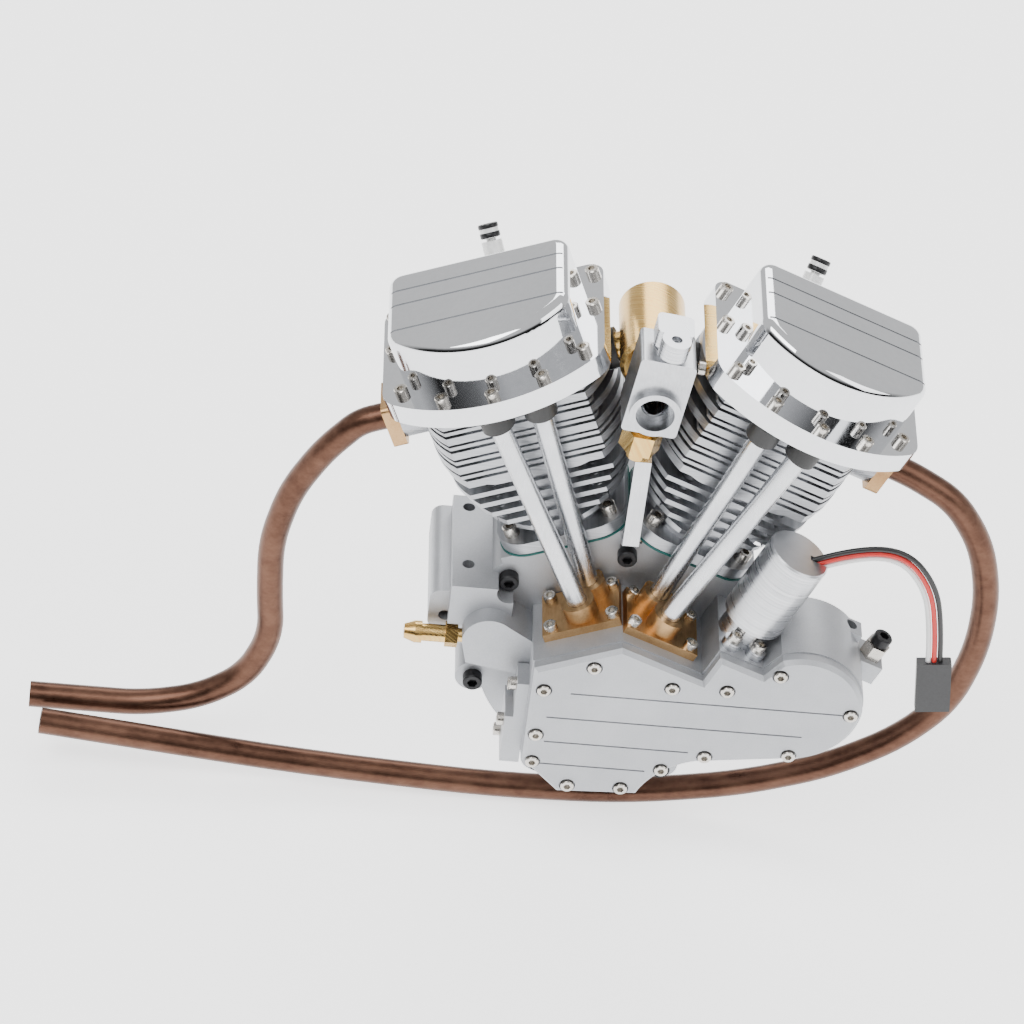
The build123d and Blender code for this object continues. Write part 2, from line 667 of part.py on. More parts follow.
def plug_bar(s0, s1, radius, mode=Mode.ADD, hexagon=False):
    with BuildSketch(Plane(origin=plug_foot + plug_dir * s0, x_dir=(1, 0, 0), z_dir=plug_dir)) as sk:
        if hexagon:
            RegularPolygon(radius, 6)
        else:
            Circle(radius)
    extrude(sk.sketch, amount=s1 - s0, mode=mode)


def across(t0, t1, h, radius, mode=Mode.ADD):
    """Round bar along the across direction of a bank."""
    with BuildSketch(Plane(origin=(t0, 0, h), x_dir=(0, 1, 0), z_dir=(1, 0, 0))) as sk:
        Circle(radius)
    extrude(sk.sketch, amount=t1 - t0, mode=mode)


with BuildPart() as head:
    round_slab(29, 29, 6, head_h, box_h)
    for k in range(6):
        fin(22.3 if k else 21.6, 15.2, head_h + 1.2 + 4.2 * k, 1.9)
    across(10, 27, port_out_h, 5.6)
    across(-17.6, -10, port_in_h, 5.4)
    across(-26, -17.6, port_in_h, 4.8, mode=Mode.SUBTRACT)
    across(-21.4, -17, port_in_h, 3.3)
    plug_bar(8, plug_seat, 5.6)
    post(0, 0, head_h, 60.0, 8.6, mode=Mode.SUBTRACT)
    for t, h in ((valve_t, port_out_h), (-valve_t, port_in_h)):
        post(t, 0, 59, h, 3.1, mode=Mode.SUBTRACT)
        post(t, 0, h - 1, box_h, 1.0 + run, mode=Mode.SUBTRACT)
    across(valve_t, 28, port_out_h, 2.5, mode=Mode.SUBTRACT)
    across(-22, -valve_t, port_in_h, 2.4, mode=Mode.SUBTRACT)
    plug_bar(-1, plug_seat, 2.5 + fit_gap, mode=Mode.SUBTRACT)
    plug_bar(plug_seat, plug_seat + 26, 5.7, mode=Mode.SUBTRACT)
    # room for the pushrod tube seals
    for _, high in pushrods.values():
        post(high[0], high[1], 76, box_h, 4.0, mode=Mode.SUBTRACT)
both(head.part, "cylinder_heads")

tube_r, tube_bore = 2.3, 1.7
seal_h = 79.5
tube_end_h = 85.2
with BuildPart() as box:
    d_slab(1.6, 5.6, box_h, box_flange_h, 3)
    d_slab(-rim, 5.6, box_flange_h, cover_h, 4)
    d_slab(2.2, 5.6, 86.0, cover_h, 2.5, mode=Mode.SUBTRACT)
    d_slab(1.5, 5.6, 87.3, cover_h, 2.5, mode=Mode.SUBTRACT)
    for t0, t1 in ((-12.4, -10.2), (-2.6, 0.7), (7.3, 9.4)):
        block(t0, t1, rocker_y - 3.0, rocker_y + 3.0, 86.0, rocker_h + 2.6)
    with BuildSketch(Plane(origin=(-13, rocker_y, rocker_h), x_dir=(0, 1, 0), z_dir=(1, 0, 0))):
        Circle(1.5 + 0.01)
    extrude(amount=23, mode=Mode.SUBTRACT)
    for t in (-valve_t, valve_t):
        post(t, 0, 83, 87, 1.0 + run, mode=Mode.SUBTRACT)
    for low, high in pushrods.values():
        strut(along(low, high, 80), along(low, high, 90), tube_r + fit_gap, mode=Mode.SUBTRACT)
    for x, y in box_screws_at:
        post(x, y, box_flange_h - 1, cover_h + 1, m16_r + fit_gap, mode=Mode.SUBTRACT)
both(box.part, "rocker_boxes")

with BuildPart() as cover:
    d_slab(-rim, 5.6, cover_h, cover_h + 2.0, 4)
    d_slab(0, 5.6, cover_h, cover_top, 3.4)
    fillet(cover.edges().group_by(Axis.Z)[-1], 2.3)
    d_slab(1.5, 5.6, cover_h, cover_top - 1.8, 2.5, mode=Mode.SUBTRACT)
    for y in (-1.3, -6.4, -15.2):
        with BuildSketch(Plane.XY.offset(cover_top - 0.4)):
            with Locations((0, y)):
                Rectangle(2 * half_w - 1, 0.5)
        extrude(amount=1, mode=Mode.SUBTRACT)
    for x, y in box_screws_at:
        post(x, y, cover_h - 1, cover_h + 3, m16_r + fit_gap, mode=Mode.SUBTRACT)
        post(x, y, cover_h + 2, cover_h + 6, m16_head_r + 0.15, mode=Mode.SUBTRACT)
both(cover.part, "rocker_covers")

with BuildPart() as rocker_shaft:
    with BuildSketch(Plane(origin=(-12.6, rocker_y, rocker_h), x_dir=(0, 1, 0), z_dir=(1, 0, 0))):
        Circle(1.5)
    extrude(amount=22.2)
both(rocker_shaft.part, "rocker_shafts")

# ================================================================ valve gear
with BuildPart() as tappet_block:
    with BuildSketch(Plane.XY.offset(deck_h)):
        with Locations((0.3, -20.2)):
            Rectangle(17.8, 13.6)
    extrude(amount=2.0)
    for lx, ly in (outer_lifter, inner_lifter):
        post(lx, ly, deck_h + 2.0, deck_h + 6.0, 3.8)
    block(-12, 12, -13.4, -4, deck_h - 1, deck_h + 8, mode=Mode.SUBTRACT)
    for lx, ly in (outer_lifter, inner_lifter):
        post(lx, ly, deck_h, deck_h + 4.4, 2.0 + run, mode=Mode.SUBTRACT)
    for low, high in pushrods.values():
        strut(along(low, high, 24.6), along(low, high, 30), tube_r + fit_gap, mode=Mode.SUBTRACT)
    for x, y in tappet_screws_at:
        post(x, y, deck_h - 1, deck_h + 3, m16_r + fit_gap, mode=Mode.SUBTRACT)
        post(x, y, deck_h + 2, deck_h + 8, m16_head_r + 0.1, mode=Mode.SUBTRACT)
both(tappet_block.part, "tappet_blocks")

with BuildPart() as tubes:
    for low, high in pushrods.values():
        strut(along(low, high, 25.6), along(low, high, tube_end_h), tube_r)
    for low, high in pushrods.values():
        strut(along(low, high, 25), along(low, high, 86), tube_bore, mode=Mode.SUBTRACT)
both(tubes.part, "pushrod_tubes")

with BuildPart() as seals:
    for low, high in pushrods.values():
        strut(along(low, high, seal_h), along(low, high, box_h - 0.02), 3.7)
    for low, high in pushrods.values():
        strut(along(low, high, 78), along(low, high, 86), tube_r + 0.01, mode=Mode.SUBTRACT)
    block(-20, 20, -40, 0, box_h, box_h + 3, mode=Mode.SUBTRACT)
both(seals.part, "tube_seals")

foot_h = cam_z * ca + base_circle + lift + 0.12
tip_r = 1.0
sides = {"left": on_left, "right": on_right}
for kind, (low, high) in pushrods.items():
    lx, ly = low[0], low[1]
    with BuildPart() as lifter:
        post(lx, ly, foot_h, foot_h + 1.4, 2.9 if kind == "exhaust" else 2.0)
        post(lx, ly, foot_h + 1.4, deck_h + 2.6, 2.0)
    with BuildPart() as rod:
        strut(along(low, high, deck_h + 2.6), along(low, high, rocker_h - 1.9), tip_r)
        block(-30, 30, -40, 10, deck_h, deck_h + 2.6, mode=Mode.SUBTRACT)
        block(-30, 30, -40, 10, rocker_h - 2.2, rocker_h + 5, mode=Mode.SUBTRACT)
    top = along(low, high, rocker_h - 2.2)
    vt = valve_t if kind == "exhaust" else -valve_t
    with BuildPart() as rocker:
        hub0, hub1 = (1.0, 7.0) if kind == "exhaust" else (-9.9, -2.9)
        with BuildSketch(Plane(origin=(hub0, rocker_y, rocker_h), x_dir=(0, 1, 0), z_dir=(1, 0, 0))):
            Circle(2.9)
        extrude(amount=hub1 - hub0)
        block(top[0] - 1.2, top[0] + 1.2, top[1] - 0.4, rocker_y, rocker_h - 2.1, rocker_h + 1.2)
        block(vt - 1.5, vt + 1.5, rocker_y, 1.4, valve_tip_h + 0.1, rocker_h + 1.8)
        with BuildSketch(Plane(origin=(hub0 - 1, rocker_y, rocker_h), x_dir=(0, 1, 0), z_dir=(1, 0, 0))):
            Circle(1.5 + run)
        extrude(amount=9, mode=Mode.SUBTRACT)
    with BuildPart() as valve:
        post(vt, 0, 59.1, 59.9, 3.6)
        post(vt, 0, 59.9, valve_tip_h, 1.0)
        post(vt, 0, 91.9, 92.7, 3.0)
    for side, place in sides.items():
        with BuildPart() as train:
            add(place(lifter.part))
            add(place(rod.part))
        save(train.part, side + "_" + kind + "_pushrod")
        save(place(rocker.part), side + "_" + kind + "_rocker")
        save(place(valve.part), side + "_" + kind + "_valve")

with BuildPart() as springs:
    for t in (-valve_t, valve_t):
        with BuildLine(Plane(origin=(t, 0, 86.35))) as coil_line:
            coil = Helix(pitch=0.82, height=3.3, radius=2.4)
        with BuildSketch(Plane(origin=coil @ 0, z_dir=coil % 0)) as wire:
            Circle(0.33)
        sweep(wire.sketch, path=coil, is_frenet=True)
both(springs.part, "valve_springs")

# ================================================================ small screws
m16_long = cap_screw(m16_head_r, m16_head_h, m16_r, 4.4)
m16_short = cap_screw(m16_head_r, m16_head_h, m16_r, 4.0)
with BuildPart() as bank_screws:
    with Locations(*[Location((x, y, cover_h + 2.0)) for x, y in box_screws_at]):
        add(m16_long)
    with Locations(*[Location((x, y, deck_h + 2.0)) for x, y in tappet_screws_at]):
        add(m16_short)
with BuildPart() as small_cap_screws:
    add(on_right(bank_screws.part))
    add(on_left(bank_screws.part))
    cover_head = front(chest_front - 2.0)
    with Locations(*[cover_head.location * Location((x, z, 0)) for x, z in cover_screws_at]):
        add(m16_long)
    can_screws = [Location((t, y, can_seat_h + 2.0)) for t, y in can_screws_at]
    for place in can_screws:
        add(on_right(m16_long.moved(place)))
    # four in the side plate
    for y, z in plate_screws_at:
        out = -21.6 if z > -3 else -23.4
        with Locations(Plane(origin=(out, mid_y + y, z), x_dir=(0, 1, 0), z_dir=(-1, 0, 0)).location):
            add(cap_screw(m16_head_r, m16_head_h, m16_r, 4.0 if z > -3 else 5.8))
save(small_cap_screws.part, "small_cap_screws")


# ================================================================ intake
carb_front, carb_back = -24.5, -13.2
carb_w, carb_tall, carb_lean = 12.2, 19.6, 7.0
carb_mid_z = plenum_z + 3.4
throttle_bore = 3.0
lean = Rotation(0, carb_lean, 0)


def in_carb(x, y, z):
    """Place in the leaning carburettor's own axes."""
    return Location((0, 0, plenum_z)) * Location((0, 0, 0), (0, carb_lean, 0)) * Location((x, mid_y + y, z))


def carb_post(x, y, z0, z1, radius, mode=Mode.ADD, hexagon=False):
    with BuildSketch(Plane(in_carb(x, y, z0))) as sk:
        if hexagon:
            RegularPolygon(radius, 6)
        else:
            Circle(radius)
    extrude(sk.sketch, amount=z1 - z0, mode=mode)


barrel_y = (carb_front + carb_back) / 2
with BuildPart() as carburettor_body:
    with BuildSketch(Plane(in_carb(0, carb_back, 3.4)) * Plane.XZ):
        RectangleRounded(carb_w, carb_tall, 1.0)
    extrude(amount=carb_back - carb_front)
    bar(carb_front, carb_front - 1.6, 5.6, (0, plenum_z))
    bar(carb_back, carb_front - 2, throttle_bore, (0, plenum_z), mode=Mode.SUBTRACT)
    bar(carb_front + 1.9, carb_front - 2, 4.2, (0, plenum_z), mode=Mode.SUBTRACT)
    carb_post(0, barrel_y, -4.6, 20, 3.6 + run, mode=Mode.SUBTRACT)
    # side boss of the idle screw
    with BuildSketch(Plane(in_carb(carb_w / 2 + 2.0, barrel_y, 9.4)) * Plane.YZ) as idle_hole:
        Circle(0.8 + fit_gap)
    extrude(idle_hole.sketch, amount=-4.2, mode=Mode.SUBTRACT)
save(carburettor_body.part, "carburettor_body")

with BuildPart() as throttle_barrel:
    carb_post(0, barrel_y, -4.5, 15.4, 3.6)
    for z in (13.7, 14.6):
        with BuildSketch(Plane(in_carb(0, barrel_y, z))) as groove:
            Circle(4)
            Circle(3.2, mode=Mode.SUBTRACT)
        extrude(groove.sketch, amount=0.4, mode=Mode.SUBTRACT)
    with BuildSketch(Plane(in_carb(0, barrel_y, 15.4))) as arm:
        RectangleRounded(8.0, 7.0, 1.2)
        with Locations((0, -5.2)):
            Circle(3.2)
        with Locations((0, -5.2)):
            Circle(1.2, mode=Mode.SUBTRACT)
    extrude(arm.sketch, amount=4.2)
    bar(carb_back + 1, carb_front - 1, throttle_bore - 0.4, (0, plenum_z), mode=Mode.SUBTRACT)
save(throttle_barrel.part, "throttle_barrel")

with BuildPart() as idle_screw:
    with BuildSketch(Plane(in_carb(carb_w / 2 + 1.2, barrel_y, 9.4)) * Plane.YZ) as shank:
        Circle(0.8)
    extrude(shank.sketch, amount=-2.5)
    with BuildSketch(Plane(in_carb(carb_w / 2 + 1.2, barrel_y, 9.4)) * Plane.YZ) as knob:
        Circle(1.5)
    extrude(knob.sketch, amount=1.4)
save(idle_screw.part, "idle_screw")

with BuildPart() as fuel_union:
    carb_post(0, barrel_y, -9.2, -6.41, 2.6)
    carb_post(0, barrel_y, -14.4, -9.2, 4.5, hexagon=True)
    carb_post(0, barrel_y, -17.0, -14.4, 2.2)
    carb_post(0, barrel_y, -18, -8, 1.1, mode=Mode.SUBTRACT)
save(fuel_union.part, "fuel_union")

strip_low = 30.2
with BuildPart() as carb_bracket:
    with BuildSketch(Plane(origin=(0, mid_y, 0), x_dir=(0, 1, 0), z_dir=(1, 0, 0))) as profile:
        with BuildLine() as run_line:
            rear = [(-12.0, strip_low), (-12.0, 36.4), (-16.4, 39.4), (-16.4, 61.8), (-12.0, 64.8), (-12.0, 76.6)]
            face = [(-13.2, 76.6), (-13.2, 65.5), (-17.6, 62.5), (-17.6, 38.7), (-13.2, 35.7), (-13.2, strip_low)]
            Polyline(*rear, *face, close=True)
        make_face(run_line.edges())
    extrude(profile.sketch, amount=1.8, both=True)
    bar(-11, -14, m25_r + fit_gap, case_screws_at[1], mode=Mode.SUBTRACT)
save(carb_bracket.part, "carb_bracket")

plenum_back, plenum_front = 13.0, -9.0
stub_r = 3.3
with BuildPart() as intake_plenum:
    bar(plenum_back, plenum_front, plenum_r, (0, plenum_z))
    chamfer(intake_plenum.edges(), 0.9)
    bar(plenum_front, carb_back, 4.4, (0, plenum_z))
    strut(right_point(-21.5, 0, port_in_h), (0, mid_y - stagger, plenum_z), stub_r)
    left_stub = right_point(-21.5, 0, port_in_h)
    strut((-left_stub.X, mid_y + stagger, left_stub.Z), (0, mid_y + stagger, plenum_z), stub_r)
    bar(plenum_back - 1.2, plenum_front + 1.2, plenum_r - 1.2, (0, plenum_z), mode=Mode.SUBTRACT)
    bar(plenum_front + 2, carb_back, throttle_bore, (0, plenum_z), mode=Mode.SUBTRACT)
    strut(right_point(-21, 0, port_in_h), (0, mid_y - stagger, plenum_z), 2.4, mode=Mode.SUBTRACT)
    strut((-left_stub.X - 1, mid_y + stagger, left_stub.Z - 0.414), (0, mid_y + stagger, plenum_z), 2.4,
          mode=Mode.SUBTRACT)
save(intake_plenum.part, "intake_plenum")

with BuildPart() as coupling:
    across(-23.6, -18.6, port_in_h, 4.5)
    across(-25, -18, port_in_h, stub_r + 0.01, mode=Mode.SUBTRACT)
both(coupling.part, "intake_couplings")

# ================================================================ ignition pickup
spot_y = can_y + stagger
lead_start, lead_r, lead_pitch = (40.4, 41.4), 0.6, 1.32
lead_dir = (48.8 - 40.4, 45.7 - 41.4)


with BuildPart() as housing:
    post(can_t, spot_y, 24.3, can_seat_h, 4.45)
    post(can_t, spot_y, can_seat_h, can_base_h, 5.6)
    for t, y in can_screws_at:
        post(t, y, can_seat_h, can_seat_h + 2.0, 2.2)
        post(t, y, can_seat_h + 2.0, can_base_h, m16_head_r + 0.1, mode=Mode.SUBTRACT)
        post(t, y, can_seat_h - 1, can_seat_h + 3, m16_r + fit_gap, mode=Mode.SUBTRACT)
    post(can_t, spot_y, can_base_h, can_split_h, can_r)
    post(can_t, spot_y, 36.2, can_split_h, can_r - 1.4, mode=Mode.SUBTRACT)
    post(can_t, spot_y, 24, 37, 1.5 + run, mode=Mode.SUBTRACT)
save(on_right(housing.part), "ignition_housing")

with BuildPart() as cap:
    post(can_t, spot_y, can_split_h, can_top_h, can_r)
    chamfer(cap.edges().group_by(Axis.Z)[-1], 0.4)
    post(can_t, spot_y, can_split_h, can_top_h - 1.6, can_r - 1.4, mode=Mode.SUBTRACT)
with BuildPart() as ignition_cap:
    add(on_right(cap.part))
    slope = degrees(atan2(lead_dir[1], lead_dir[0]))
    with BuildSketch(front(can_y - 0.75)) as slot:
        with Locations(Location((lead_start[0], lead_start[1], 0), (0, 0, slope))):
            Rectangle(6.0, 4.3)
    extrude(slot.sketch, amount=-1.5, mode=Mode.SUBTRACT)
save(ignition_cap.part, "ignition_cap")

# pickup lead: three wires side by side, straight runs joined by tangent arcs
lead_points = [lead_start, (48.8, 45.7), (59.6, 46.2), (66.9, 37.4), (69.7, 25.8), (70.8, 16.4)]


def side_step(points, step):
    """The same route, moved sideways by a distance."""
    moved = []
    for k, (x, z) in enumerate(points):
        before = points[max(k - 1, 0)]
        after = points[min(k + 1, len(points) - 1)]
        ends = [(before, (x, z)), ((x, z), after)]
        dirs = [atan2(b[1] - a[1], b[0] - a[0]) for a, b in ends if a != b]
        mid = sum(dirs) / len(dirs)
        reach = step / cos((dirs[-1] - dirs[0]) / 2)
        moved.append((x - reach * sin(mid), z + reach * cos(mid)))
    return moved


def bend_radii(points):
    radii = []
    for a, b, c in zip(points, points[1:], points[2:]):
        turn = atan2(c[1] - b[1], c[0] - b[0]) - atan2(b[1] - a[1], b[0] - a[0])
        turn = (turn + pi) % (2 * pi) - pi
        short = min(hypot(b[0] - a[0], b[1] - a[1]), hypot(c[0] - b[0], c[1] - b[1]))
        radii.append(0.45 * short / tan(abs(turn) / 2))
    return radii


lead_y = mid_y + can_y
for colour, step in (("black", lead_pitch), ("red", 0.0), ("white", -lead_pitch)):
    route = side_step(lead_points, step)
    radii = bend_radii(route)
    print(colour, "lead radii", [round(r, 1) for r in radii])
    with BuildPart() as wire:
        with BuildLine() as path:
            FilletPolyline(*[(x, lead_y, z) for x, z in route], radius=radii)
        with BuildSketch(Plane(origin=path.line @ 0, z_dir=path.line % 0)) as section:
            Circle(lead_r)
        sweep(section.sketch, path=path.line)
    wire_len = path.line.wires()[0].length
    print(colour, "length", round(wire_len, 2), "volume", round(wire.part.volume, 2),
          "section x length", round(pi * lead_r ** 2 * wire_len, 2))
    save(wire.part, "lead_wire_" + colour)

end_x, end_z = lead_points[-1]
end_dir = Vector(lead_points[-1][0] - lead_points[-2][0], 0, lead_points[-1][1] - lead_points[-2][1]).normalized()
with BuildPart() as lead_plug:
    with BuildSketch(Plane(origin=(end_x, lead_y, end_z), x_dir=(0, 1, 0), z_dir=end_dir)) as plug_section:
        Rectangle(2.6, 7.8)
    extrude(plug_section.sketch, amount=14.0)
    chamfer(lead_plug.edges().group_by(Axis.Z)[-1], 0.3)
    for step in (-2.54, 0, 2.54):
        with BuildSketch(Plane(origin=Vector(end_x, lead_y, end_z) + end_dir * 14, x_dir=(0, 1, 0), z_dir=end_dir)) as pin:
            with Locations((0, step)):
                Rectangle(0.9, 0.9)
        extrude(pin.sketch, amount=-8, mode=Mode.SUBTRACT)
save(lead_plug.part, "lead_plug")

# ================================================================ small fittings
def nipple_bar(x0, x1, radius, mode=Mode.ADD, hexagon=False):
    with BuildSketch(Plane(origin=(x0, mid_y + nipple_y, nipple_z), x_dir=(0, 1, 0), z_dir=(-1, 0, 0))) as sk:
        if hexagon:
            RegularPolygon(radius, 6)
        else:
            Circle(radius)
    extrude(sk.sketch, amount=x0 - x1, mode=mode)


with BuildPart() as breather_nipple:
    nipple_bar(-29.5, -36.6, 1.55)
    nipple_bar(-35.4, -38.2, 2.9, hexagon=True)
    nipple_bar(-38.2, -43.8, 2.0)
    with BuildSketch(Plane(origin=(-43.4, mid_y + nipple_y, nipple_z), x_dir=(0, 1, 0), z_dir=(-1, 0, 0))) as barb:
        Circle(2.5)
    extrude(barb.sketch, amount=1.6)
    with BuildSketch(Plane(origin=(-45.0, mid_y + nipple_y, nipple_z), x_dir=(0, 1, 0), z_dir=(-1, 0, 0))) as cone:
        Circle(2.5)
    extrude(cone.sketch, amount=2.4, taper=20)
    nipple_bar(-29, -48, 0.9, mode=Mode.SUBTRACT)
save(breather_nipple.part, "breather_nipple")

with BuildPart() as oil_pump_plate:
    block(-21.6, -19, mid_y - 30, mid_y - 19.5, -3.0, 2.3)
    block(-21.6, -19, mid_y - 30, mid_y - 22.8, 2.3, 6.8)
    block(-23.4, -19, mid_y - 30, mid_y - 19.5, -16.4, -3.0)
    for y, z in plate_screws_at:
        with BuildSketch(Plane(origin=(-18, mid_y + y, z), x_dir=(0, 1, 0), z_dir=(-1, 0, 0))) as hole:
            Circle(m16_r + fit_gap)
        extrude(hole.sketch, amount=8, mode=Mode.SUBTRACT)
save(oil_pump_plate.part, "oil_pump_plate")

# ================================================================ exhaust
with BuildPart() as flange:
    with BuildSketch(Plane(origin=(27, 0, port_out_h), x_dir=(0, 1, 0), z_dir=(1, 0, 0))) as sk:
        RectangleRounded(11.0, 11.0, 1.2)
        Circle(2.5, mode=Mode.SUBTRACT)
    extrude(sk.sketch, amount=3.2)
both(flange.part, "exhaust_flanges")

out_dir = Vector(ca, 0, -sa)
left_port = right_point(30.2, 0, port_out_h)
# corners of each route (across, up); every bend is as large as its two runs allow
left_route = [(-61.5, 52.45), (-68.5, 43.8), (-75.0, 31.5), (-78.3, 16.5), (-77.6, 2.0), (-76.2, -11.5)]
left_route += [(-81.0, -24.0), (-91.0, -31.6), (-104.0, -35.2), (-130.0, -35.2)]
right_route = [(61.5, 52.45), (72.0, 46.5), (79.6, 35.5), (83.2, 22.0), (83.2, 7.0), (79.0, -8.5), (69.0, -20.0)]
right_route += [(54.0, -29.6), (34.0, -36.8), (8.0, -41.6), (-22.0, -42.6), (-66.0, -40.6), (-127.0, -34.6)]
right_slant = 0.08


def pipe(points, plane):
    with BuildPart() as tube:
        with BuildLine(plane) as path:
            FilletPolyline(*points, radius=bend_radii(points))
        with BuildSketch(Plane(origin=path.line @ 0, z_dir=path.line % 0)) as section:
            Circle(pipe_r)
            Circle(pipe_r - pipe_wall, mode=Mode.SUBTRACT)
        sweep(section.sketch, path=path.line)
    return tube.part


tail_straight = gap((*left_route[-1], 0), (*left_route[-2], 0)) - 0.45 * gap((*left_route[-2], 0), (*left_route[-3], 0))
print("left tail straight run", round(tail_straight, 2))
left_plane = Plane(origin=(0, mid_y + stagger, 0), x_dir=(1, 0, 0), z_dir=(0, -1, 0))
save(pipe([(-left_port.X, left_port.Z)] + left_route, left_plane), "left_exhaust_pipe")
right_plane = Plane(origin=left_port, x_dir=(1, 0, 0), z_dir=(0, -1, right_slant))
right_points = [(x - left_port.X, (z - left_port.Z) / cos(atan2(right_slant, 1))) for x, z in right_route]
save(pipe([(0, 0)] + right_points, right_plane), "right_exhaust_pipe")

# ================================================================ spark plugs
with BuildPart() as plug_body:
    plug_bar(2.6, plug_seat, 2.5)
    plug_bar(plug_seat, plug_seat + 5.4, 4.6, hexagon=True)
    plug_bar(plug_seat + 5.4, plug_seat + 8.4, 3.5)
    plug_bar(plug_seat + 7.0, plug_seat + 9.0, 2.35 + 0.01, mode=Mode.SUBTRACT)
both(plug_body.part, "spark_plug_bodies")

with BuildPart() as insulator:
    plug_bar(plug_seat + 7.0, plug_seat + 21.6, 2.35)
    plug_bar(plug_seat + 21.6, plug_seat + 22.2, 1.1)
    plug_bar(plug_seat + 22.2, plug_seat + 25.4, 2.15)
both(insulator.part, "spark_plug_insulators")
print("files", len(os.listdir("parts")))
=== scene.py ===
import json
from math import atan2, cos, pi, radians, sin

import bmesh
import bpy
from mathutils import Matrix, Vector


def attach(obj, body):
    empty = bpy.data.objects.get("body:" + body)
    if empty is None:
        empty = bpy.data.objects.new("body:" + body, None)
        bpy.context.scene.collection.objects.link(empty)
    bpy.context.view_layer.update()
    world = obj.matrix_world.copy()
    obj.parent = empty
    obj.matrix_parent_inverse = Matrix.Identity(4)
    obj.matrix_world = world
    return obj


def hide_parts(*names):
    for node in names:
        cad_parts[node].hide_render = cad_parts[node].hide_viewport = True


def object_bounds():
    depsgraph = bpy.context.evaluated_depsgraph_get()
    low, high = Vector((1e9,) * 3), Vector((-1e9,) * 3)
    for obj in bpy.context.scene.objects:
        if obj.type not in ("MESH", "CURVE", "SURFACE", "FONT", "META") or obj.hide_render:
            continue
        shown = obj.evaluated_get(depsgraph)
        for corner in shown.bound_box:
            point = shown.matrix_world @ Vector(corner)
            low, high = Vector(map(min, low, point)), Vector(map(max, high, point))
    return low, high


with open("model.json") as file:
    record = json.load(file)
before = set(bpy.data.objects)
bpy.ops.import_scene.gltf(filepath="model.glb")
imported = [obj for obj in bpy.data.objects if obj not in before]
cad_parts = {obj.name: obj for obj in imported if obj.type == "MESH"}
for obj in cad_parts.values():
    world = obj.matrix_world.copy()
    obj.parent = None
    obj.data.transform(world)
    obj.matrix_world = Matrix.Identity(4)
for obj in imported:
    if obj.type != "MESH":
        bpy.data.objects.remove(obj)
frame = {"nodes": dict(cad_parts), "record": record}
cad_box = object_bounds()

# The engine's lengths are in millimetres and MM makes them metres.
# Camera, lamps and floor are placed in metres.
MM = 0.001
BANK = radians(22.5)  # each cylinder leans this far from upright
MID_Y = -23.0  # plane midway between the two cylinders' axes
STAGGER = 1.2  # each cylinder's step from that plane, along the crankshaft
SIDES = (("right", 1), ("left", -1))
scene = bpy.context.scene

# ------------------------------------------------------------------ camera
CAMERA_PLACE = (-0.10611, -0.97417, 0.80831)
CAMERA_RIGHT = (0.9944, 0.0013, 0.1048)
CAMERA_UP = (-0.0819, 0.6346, 0.7684)
CAMERA_BACK = (-0.0655, -0.7727, 0.6313)

camera = bpy.data.objects.new("camera", bpy.data.cameras.new("camera"))
scene.collection.objects.link(camera)
camera_turn = Matrix((CAMERA_RIGHT, CAMERA_UP, CAMERA_BACK)).transposed()
camera.matrix_world = Matrix.Translation(CAMERA_PLACE) @ camera_turn.to_4x4()
camera.data.sensor_width = 36
camera.data.lens = 193.7
camera.data.clip_start = 0.01
camera.data.dof.use_dof = False
scene.camera = camera

# ------------------------------------------------------------------ leads
LEAD_R, LEAD_PITCH = 0.6, 1.32
LEAD_POINTS = [(40.4, 41.4), (48.8, 45.7), (59.6, 46.2), (66.9, 37.4), (69.7, 25.8), (70.8, 16.4)]
LEAD_Y = MID_Y - 22.0


def side_step(points, step):
    """The same route, moved sideways by a distance."""
    moved = []
    for k, (x, z) in enumerate(points):
        before = points[max(k - 1, 0)]
        after = points[min(k + 1, len(points) - 1)]
        ends = [(before, (x, z)), ((x, z), after)]
        dirs = [atan2(b[1] - a[1], b[0] - a[0]) for a, b in ends if a != b]
        mid = sum(dirs) / len(dirs)
        reach = step / cos((dirs[-1] - dirs[0]) / 2)
        moved.append((x - reach * sin(mid), z + reach * cos(mid)))
    return moved


def lead(colour, step):
    """One wire of the pickup's lead, a step to the side of the middle one."""
    points = [(x * MM, LEAD_Y * MM, z * MM) for x, z in side_step(LEAD_POINTS, step)]
    curve = bpy.data.curves.new("lead_" + colour, "CURVE")
    curve.dimensions = "3D"
    line = curve.splines.new("NURBS")
    line.points.add(len(points) - 1)
    for point, place in zip(line.points, points):
        point.co = (*place, 1)
        point.radius = LEAD_R * MM
    line.order_u = 3
    line.use_endpoint_u = True
    line.resolution_u = 16
    curve.bevel_depth = 1.0  # the points' radius scales it to the wire's
    curve.bevel_resolution = 5
    curve.use_fill_caps = True
    obj = bpy.data.objects.new("lead_" + colour, curve)
    scene.collection.objects.link(obj)
    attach(obj, "engine")
    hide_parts("lead_wire_" + colour)
    return obj


leads = {"red": lead("red", 0.0),
         "black": lead("black", LEAD_PITCH),
         "white": lead("white", -LEAD_PITCH)}

# ------------------------------------------------------------------ shader nodes
GROUP_INPUTS = [("Colour", "Color", (0.6, 0.6, 0.6, 1)), ("Second Colour", "Color", (0.5, 0.5, 0.5, 1)),
                ("Grain Scale", "Float", 3000.0), ("Patch Scale", "Float", 90.0),
                ("Roughness Low", "Float", 0.3), ("Roughness High", "Float", 0.5), ("Bump", "Float", 0.1)]
GROUP_OUTPUTS = [("Colour", "Color"), ("Roughness", "Float"), ("Normal", "Vector")]


